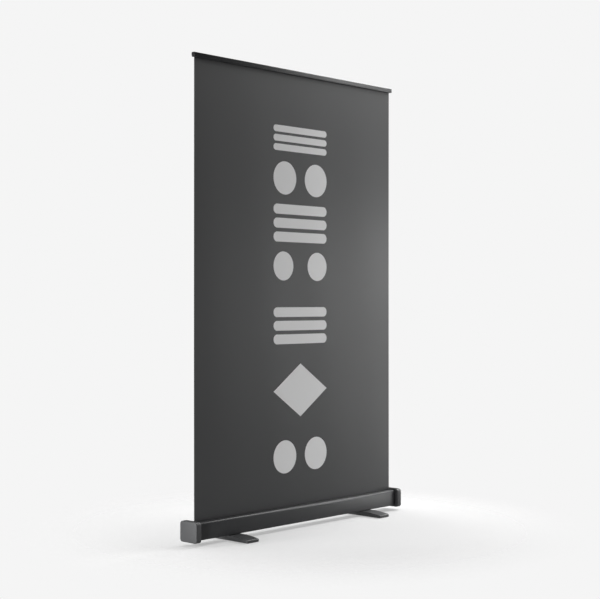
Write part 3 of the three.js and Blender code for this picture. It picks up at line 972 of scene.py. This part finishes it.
class STAND_OT_feet(bpy.types.Operator):
    """Make the two swinging feet and their rubber pads"""

    bl_idname = "stand.feet"
    bl_label = "Feet"

    def execute(self, context):
        for side_name in SIDE_NAMES:
            self.foot(context.scene.stand_base, side_name)
            for end in ("front", "rear"):
                self.pad(side_name, end)
        return {"FINISHED"}

    def foot(self, base, side_name):
        """A flat bar that thins towards both rounded tips."""
        node = f"{side_name}_foot"
        low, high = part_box(node)
        hub_half = 64 * MM
        tip_top = 14 * MM
        tip_band = 1.2 * MM
        corner = 3 * MM
        upright = 2 * MM
        end = high.y - NEAR
        piece = block(f"{side_name}_foot_bar", low, high)
        for y in (-hub_half, hub_half):
            edit(piece)
            bpy.ops.mesh.select_all(action="SELECT")
            bpy.ops.mesh.bisect(plane_co=(0, y, 0), plane_no=(0, 1, 0))
            close()
        choose(piece, "VERT", lambda point: abs(point.y) > end and point.z > high.z - NEAR)
        bpy.ops.transform.translate(value=(0, 0, tip_top - high.z))
        close()
        bevel_edges(
            piece,
            corner,
            5,
            lambda a, b: min(abs(a.y), abs(b.y)) > end and abs(a.z - b.z) > upright,
        )
        bevel_edges(
            piece,
            base.foot_tip,
            5,
            lambda a, b: min(a.z, b.z) > tip_top - tip_band and min(abs(a.y), abs(b.y)) > end - corner,
        )
        rounded(piece, base.foot_edge, segments=3, angle=40)
        carve(piece, *self.cutters(side_name))
        smooth(piece, 35)
        place(piece, side_name + "_foot", "coated_steel", powder_coat(), node)

    def cutters(self, side_name):
        """The pad recesses, the bolt's counterbore and its hole."""
        gap = 0.3 * MM
        below = -4 * MM
        through = 30 * MM
        counterbore, ledge = 7.5 * MM, 8.2 * MM
        cutters = []
        for end in ("front", "rear"):
            low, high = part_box(f"{side_name}_foot_{end}_pad")
            radius = (high.x - low.x) / 2 + gap
            cutters.append(rod("pad_cutter", radius, below, high.z + gap, (low + high) / 2))
        bolt = middle(f"{side_name}_foot_bolt")
        cutters.append(rod("counterbore_cutter", counterbore, below, ledge, bolt))
        cutters.append(rod("bolt_cutter", BOLT_HOLE, below, through, bolt))
        return cutters

    def pad(self, side_name, end):
        """A grooved rubber button under one end of a foot."""
        node = f"{side_name}_foot_{end}_pad"
        low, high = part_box(node)
        centre = (low + high) / 2
        radius = (high.x - low.x) / 2
        groove = 0.5 * MM
        slope, floor = 0.03, 0.05
        stations = [(0.2 * radius, groove), (0.24 * radius, 0)]
        for start in (0.45, 0.7):
            stations += [
                (radius * start, 0),
                (radius * (start + slope), groove),
                (radius * (start + slope + floor), groove),
                (radius * (start + 2 * slope + floor), 0),
            ]
        stations += [(0.93 * radius, 0), (0.98 * radius, 0.3 * MM), (radius, MM), (radius, high.z)]
        piece = turned(f"{side_name}_{end}_pad", stations, (centre.x, centre.y, 0))
        smooth(piece, 30)
        place(piece, side_name + "_foot", "rubber", pad_rubber(), node)


class STAND_OT_foot_fasteners(bpy.types.Operator):
    """Make the pivot bolts, washers and nuts of the feet"""

    bl_idname = "stand.foot_fasteners"
    bl_label = "Foot fasteners"

    def execute(self, context):
        for side_name in SIDE_NAMES:
            self.bolt(side_name)
            self.washer(side_name)
            self.nut(side_name)
        return {"FINISHED"}

    def bolt(self, side_name):
        """A socket-head pivot bolt."""
        node = f"{side_name}_foot_bolt"
        low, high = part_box(node)
        centre = (low + high) / 2
        head, shank = 7.2 * MM, 4 * MM
        head_edge, tip_edge = 0.7 * MM, 0.8 * MM
        under_head = 7.9 * MM
        key, key_depth = 3.4 * MM, 3 * MM
        stations = [
            (head - head_edge, low.z),
            (head, low.z + head_edge),
            (head, under_head),
            (shank, under_head),
            (shank, high.z - tip_edge),
            (shank - tip_edge, high.z),
        ]
        piece = turned(f"{side_name}_pivot_bolt", stations, (centre.x, centre.y, 0), sides=48)
        carve(piece, rod("key_cutter", key, -MM, low.z + key_depth, centre, sides=6))
        smooth(piece, 30)
        place(piece, "base", "zinc_steel", zinc_plate(), node)

    def washer(self, side_name):
        """A nylon washer between foot and housing."""
        node = f"{side_name}_foot_washer"
        low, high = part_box(node)
        outer = (high.y - low.y) / 2
        soft = 0.2 * MM
        centre = (low + high) / 2
        piece = ring(f"{side_name}_pivot_washer", BOLT_HOLE, outer, low.z, high.z, soft, centre)
        smooth(piece, 30)
        place(piece, "base", "black_plastic", black_nylon(), node)

    def nut(self, side_name):
        """A hexagon nut inside the housing."""
        node = f"{side_name}_foot_nut"
        low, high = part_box(node)
        centre = (low + high) / 2
        corners = max(high.x - low.x, high.y - low.y) / 2
        above = 60 * MM
        piece = rod(f"{side_name}_pivot_nut", corners, low.z, high.z, centre, sides=6)
        carve(piece, rod("nut_cutter", BOLT_HOLE, 0, above, centre, sides=32))
        rounded(piece, 0.4 * MM, segments=2, angle=40)
        smooth(piece, 30)
        place(piece, "base", "zinc_steel", zinc_plate(), node)


# ------------------------------------------------------------------ operators: inner works

class STAND_OT_inner_works(bpy.types.Operator):
    """Finish the roller, its spring and the plates at the ends of the base"""

    bl_idname = "stand.inner_works"
    bl_label = "Inner works"

    def execute(self, context):
        plates = [f"{side}_bearing_plate" for side in SIDE_NAMES]
        screws = [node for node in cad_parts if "plate_screw" in node or "grub_screw" in node]
        finish_nodes(zinc_plate(), *plates, *screws, "left_stub_axle", "spring_arbor")
        finish_nodes(spring_wire(), "torsion_spring")
        finish_nodes(satin_aluminium(), "roller_tube")
        plugs = [f"{side}_roller_plug" for side in SIDE_NAMES]
        spacers = [f"{side}_axle_spacer" for side in SIDE_NAMES]
        finish_nodes(black_nylon(), *plugs, *spacers, "spring_anchor_plug")
        finish_nodes(leader_film(), "leader_strip")
        self.roll()
        return {"FINISHED"}

    def roll(self):
        """The banner's tail, wound on the tube."""
        low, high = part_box("fabric_roll")
        centre = (low + high) / 2
        outer = (high.z - low.z) / 2
        half = (high.x - low.x) / 2
        inner = 14.3 * MM
        wraps = 3
        set_back, soft = 0.25 * MM, 0.1 * MM
        layer = (outer - inner) / wraps
        stations = [(inner, -half)]
        for wrap in range(wraps):
            edge = inner + (wrap + 1) * layer
            start = -half + (wraps - 1 - wrap) * set_back
            stations += [(edge - soft, start), (edge, start + soft)]
        stations += [(outer, half - soft), (outer - soft, half), (inner, half), (inner, -half)]
        piece = turned("banner_roll", stations, (0, centre.y, centre.z), along="X")
        smooth(piece, 30)
        place(piece, "roller", "leader_film", leader_film(), "fabric_roll")


# ------------------------------------------------------------------ operators: banner

def sheet_depth(across, up, sheet):
    """How far the film stands off its plane: edges that curl back and long shallow waves."""
    held = math.sin(math.pi * min(max(up, 0.0), 1.0)) ** 0.5
    curl = sheet.bow * held * abs(across) ** 6
    wave = math.sin(5.1 * across + 1.3) * math.sin(math.pi * up) + 0.5 * math.sin(11.7 * across + 4.0 * up)
    return curl + sheet.ripple * held * wave


class STAND_OT_sheet(bpy.types.Operator):
    """Make the printed banner, stretched from the slot to the rail"""

    bl_idname = "stand.sheet"
    bl_label = "Banner sheet"

    def execute(self, context):
        sheet = context.scene.stand_sheet
        width = SHEET_HIGH.x - SHEET_LOW.x
        height = SHEET_HIGH.z - SHEET_LOW.z
        centre = (SHEET_LOW + SHEET_HIGH) / 2
        clear_selection()
        bpy.ops.mesh.primitive_grid_add(
            x_subdivisions=sheet.columns,
            y_subdivisions=sheet.rows,
            size=1,
            location=(centre.x, SHEET_Y - sheet.thickness / 2, centre.z),
            rotation=(math.pi / 2, 0, 0),
        )
        piece = context.object
        piece.name = "banner_sheet"
        piece.scale = (width, height, 1)
        settle(piece)
        flat = piece.data.uv_layers.new(name="Flat")
        for corner in piece.data.loops:
            point = piece.data.vertices[corner.vertex_index].co
            flat.data[corner.index].uv = (point.x, point.z)
        for point in piece.data.vertices:
            across = (point.co.x - centre.x) / (width / 2)
            up = (point.co.z - SHEET_LOW.z) / height
            point.co.y += sheet_depth(across, up, sheet)
        place(piece, "base", "banner_film", printed_film(), "fabric_sheet")
        piece.data.materials.append(film_back())
        applied(
            piece,
            "SOLIDIFY",
            thickness=sheet.thickness,
            offset=-1,
            use_even_offset=True,
            material_offset=1,
            material_offset_rim=0,
        )
        smooth(piece, 30)
        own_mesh(piece)
        return {"FINISHED"}


# ------------------------------------------------------------------ operators: rail

class STAND_OT_rail(bpy.types.Operator):
    """Make the two jaws of the top rail and the caps at its ends"""

    bl_idname = "stand.rail"
    bl_label = "Top rail"

    def execute(self, context):
        rear = copied("top_rail", "rail_rear_jaw")
        rounded(rear, 0.25 * MM, segments=2, angle=40)
        smooth(rear, 30)
        place(rear, "pole_upper", "dark_anodised", dark_anodised(), "top_rail")
        self.front_jaw()
        for side_name in SIDE_NAMES:
            self.cap(side_name)
        return {"FINISHED"}

    def front_jaw(self):
        """The snap jaw, with two shadow lines along its face."""
        piece = copied("rail_front_jaw", "rail_snap_jaw")
        low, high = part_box("rail_front_jaw")
        rounded(piece, 0.25 * MM, segments=2, angle=40)
        line, depth = 0.9 * MM, 0.6 * MM
        lower_line, upper_line = low.z + 3.4 * MM, high.z - 5.2 * MM
        past = 1
        for z in (lower_line, upper_line):
            near_end = (low.x - past, low.y - past, z)
            far_end = (high.x + past, low.y + depth, z + line)
            carve(piece, block("line_cutter", near_end, far_end))
        smooth(piece, 30)
        place(piece, "rail_jaw", "dark_anodised", dark_anodised(), "rail_front_jaw")

    def cap(self, side_name):
        """A thin plug with rounded corners over the rail's end."""
        node = f"rail_{side_name}_cap"
        low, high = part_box(node)
        half_width = 0.5 * (high.x - low.x)
        corner = 2 * MM
        piece = block(f"rail_{side_name}_plug", low, high)
        bevel_edges(piece, corner, 6, lambda a, b: abs(a.x - b.x) > half_width)
        rounded(piece, 0.5 * MM, segments=3, angle=50)
        smooth(piece, 40)
        place(piece, "pole_upper", "cap_plastic", cap_plastic(), node)


# ------------------------------------------------------------------ operators: pole

class STAND_OT_pole(bpy.types.Operator):
    """Make the pole's socket and tubes, and finish its bushes and foot plug"""

    bl_idname = "stand.pole"
    bl_label = "Pole"

    def execute(self, context):
        pole = context.scene.stand_pole
        bodies = {"lower": "base", "middle": "pole_middle", "upper": "pole_upper"}
        for stage, body in bodies.items():
            self.tube(pole, stage, body)
        finish_nodes(black_nylon(), "middle_guide_bush", "upper_guide_bush", "pole_foot_plug")
        self.socket(pole)
        return {"FINISHED"}

    def tube(self, pole, stage, body):
        """One of the pole's three tubes."""
        node = f"pole_{stage}_tube"
        low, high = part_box(node)
        outer = tube_radius(node)
        wall = MM
        soft = 0.25 * MM
        centre = Vector((0, POLE_Y, 0))
        piece = ring(f"{stage}_tube", outer - wall, outer, low.z, high.z, soft, centre, pole.sides)
        smooth(piece, 30)
        place(piece, body, "plain_aluminium", satin_aluminium(), node)

    def socket(self, pole):
        """The flanged cup that holds the pole in the housing."""
        low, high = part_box("pole_socket")
        flange = (high.x - low.x) / 2
        outer, inner = 9.7 * MM, 8.3 * MM
        foot_edge, mouth_edge = 1 * MM, 0.8 * MM
        seat = low.z + 3.8 * MM
        seat_middle = 0.5 * MM
        under_flange = high.z - 2 * MM
        stations = [
            (outer - foot_edge, low.z),
            (outer, low.z + foot_edge),
            (outer, under_flange),
            (flange - 0.2 * MM, under_flange),
            (flange, under_flange + 0.3 * MM),
            (flange, high.z - 1.1 * MM),
            (flange - 0.3 * MM, high.z - 0.5 * MM),
            (flange - 1.0 * MM, high.z),
            (inner + mouth_edge, high.z),
            (inner, high.z - mouth_edge),
            (inner, seat),
            (seat_middle, seat),
        ]
        piece = turned("pole_cup", stations, (0, POLE_Y, 0), sides=pole.sides)
        smooth(piece, 30)
        place(piece, "base", "black_plastic", black_nylon(), "pole_socket")


class STAND_OT_collars(bpy.types.Operator):
    """Make the two fluted twist collars that lock the pole"""

    bl_idname = "stand.collars"
    bl_label = "Lock collars"

    def execute(self, context):
        pole = context.scene.stand_pole
        self.collar(pole, "lower", "pole_lower_tube", "pole_middle_tube")
        self.collar(pole, "upper", "pole_middle_tube", "pole_upper_tube")
        return {"FINISHED"}

    def collar(self, pole, stage, below, above):
        """A stepped sleeve between two tubes, carved with grip flutes."""
        node = f"{stage}_lock_collar"
        low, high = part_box(node)
        wide = (high.x - low.x) / 2
        clear = 0.4 * MM
        tube_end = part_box(below)[1].z
        below_radius = tube_radius(below) + clear
        above_radius = tube_radius(above) + clear
        shoulder = tube_end + 4 * MM
        step = tube_end + 0.3 * MM
        neck = above_radius - clear + 3 * MM
        stations = [
            (below_radius, low.z),
            (wide - 0.9 * MM, low.z),
            (wide - 0.25 * MM, low.z + 0.3 * MM),
            (wide, low.z + 0.9 * MM),
            (wide, shoulder - MM),
            (wide - 0.3 * MM, shoulder),
            (neck, high.z - 2 * MM),
            (neck - 0.3 * MM, high.z - 0.7 * MM),
            (neck - MM, high.z),
            (above_radius, high.z),
            (above_radius, step),
            (below_radius, step),
            (below_radius, low.z),
        ]
        piece = turned(f"{stage}_collar", stations, (0, POLE_Y, 0), sides=pole.sides)
        reach = wide + 0.35 * MM
        for flute in range(pole.flute_count):
            turn = 2 * math.pi * flute / pole.flute_count
            centre = (math.cos(turn) * reach, POLE_Y + math.sin(turn) * reach, 0)
            carve(piece, self.flute(low.z, shoulder, centre))
        smooth(piece, 35)
        place(piece, f"{stage}_collar", "black_plastic", black_nylon(), node)

    def flute(self, bottom, shoulder, centre):
        """The cutter for one grip flute, pointed at both ends."""
        radius = 0.9 * MM
        point = 0.4 * radius
        taper = 0.8 * MM
        start, end = bottom + 1.6 * MM, shoulder - 1.8 * MM
        stations = [(point, start), (radius, start + taper), (radius, end - taper), (point, end)]
        return turned("flute_cutter", stations, centre, sides=12)


class STAND_OT_hook(bpy.types.Operator):
    """Make the hook on top of the pole that holds the rail"""

    bl_idname = "stand.hook"
    bl_label = "Pole hook"

    def execute(self, context):
        hook = self.cup()
        weld(hook, self.arm(), self.finger())
        self.bore(hook)
        smooth(hook, 35)
        place(hook, "pole_upper", "black_plastic", black_nylon(), "pole_top_hook")
        return {"FINISHED"}

    def cup(self):
        """The round cap over the end of the upper tube."""
        low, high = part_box("pole_top_hook")
        radius = high.y - POLE_Y
        crown = self.crown()
        stations = [
            (radius - 0.4 * MM, low.z),
            (radius, low.z + 0.4 * MM),
            (radius, crown - 1.6 * MM),
            (radius - 0.5 * MM, crown - 0.5 * MM),
            (radius - 1.6 * MM, crown),
        ]
        return turned("rail_hook", stations, (0, POLE_Y, 0), sides=64)

    def crown(self):
        """The height of the cup's top."""
        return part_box("pole_upper_tube")[1].z + 4.3 * MM

    def arm(self):
        """The block that reaches forward from the cup."""
        low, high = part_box("pole_top_hook")
        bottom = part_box("pole_upper_tube")[1].z - 2 * MM
        upright = 2 * MM
        corner, edge = 4 * MM, 0.5 * MM
        piece = block("hook_arm", (low.x, low.y, bottom), (high.x, POLE_Y, self.crown()))
        bevel_edges(
            piece,
            corner,
            6,
            lambda a, b: abs(a.z - b.z) > upright and max(a.y, b.y) > POLE_Y - MM,
        )
        rounded(piece, edge, segments=3, angle=40)
        return piece

    def finger(self):
        """The upright at the arm's front end, which holds the rail."""
        low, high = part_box("pole_top_hook")
        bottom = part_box("pole_upper_tube")[1].z - MM
        rear = low.y + 1.7 * MM
        corner, edge = 3 * MM, 0.4 * MM
        piece = block("hook_finger", (low.x, low.y, bottom), (high.x, rear, high.z))
        bevel_edges(
            piece,
            corner,
            6,
            lambda a, b: abs(a.y - b.y) > 0.5 * MM and min(a.z, b.z) > high.z - NEAR,
        )
        rounded(piece, edge, segments=3, angle=40)
        return piece

    def bore(self, piece):
        """Cuts the hole that the tube's end goes into."""
        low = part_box("pole_top_hook")[0]
        radius = 5.3 * MM
        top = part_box("pole_upper_tube")[1].z + 0.3 * MM
        carve(piece, rod("hook_cutter", radius, low.z - MM, top, Vector((0, POLE_Y, 0))))


# ------------------------------------------------------------------ panel and registration

OPERATORS = (
    STAND_OT_camera,
    STAND_OT_stage,
    STAND_OT_housing,
    STAND_OT_end_caps,
    STAND_OT_feet,
    STAND_OT_foot_fasteners,
    STAND_OT_inner_works,
    STAND_OT_sheet,
    STAND_OT_rail,
    STAND_OT_pole,
    STAND_OT_collars,
    STAND_OT_hook,
)


GROUPS = {
    "stand_sheet": SheetSettings,
    "stand_base": BaseSettings,
    "stand_pole": PoleSettings,
    "stand_stage": StageSettings,
}


class STAND_PT_panel(bpy.types.Panel):
    """Buttons for the stand's pieces and fields for their sizes and colours"""

    bl_idname = "STAND_PT_panel"
    bl_label = "Banner stand"
    bl_space_type = "VIEW_3D"
    bl_region_type = "UI"
    bl_category = "Banner stand"

    def draw(self, context):
        for operator in OPERATORS:
            self.layout.operator(operator.bl_idname)
        for key, group in GROUPS.items():
            for name in group.__annotations__:
                self.layout.prop(getattr(context.scene, key), name)


def register():
    """Registers the add-on's classes and settings."""
    for cls in (*GROUPS.values(), *OPERATORS, STAND_PT_panel):
        bpy.utils.register_class(cls)
    for name, group in GROUPS.items():
        setattr(bpy.types.Scene, name, PointerProperty(type=group))


def unregister():
    """Takes the add-on's classes and settings away again."""
    for name in GROUPS:
        delattr(bpy.types.Scene, name)
    for cls in (STAND_PT_panel, *reversed(OPERATORS), *reversed(GROUPS.values())):
        bpy.utils.unregister_class(cls)


def main():
    """Builds the stand."""
    register()
    for operator in OPERATORS:
        group, name = operator.bl_idname.split(".")
        getattr(getattr(bpy.ops, group), name)()


if __name__ == "__main__":
    main()
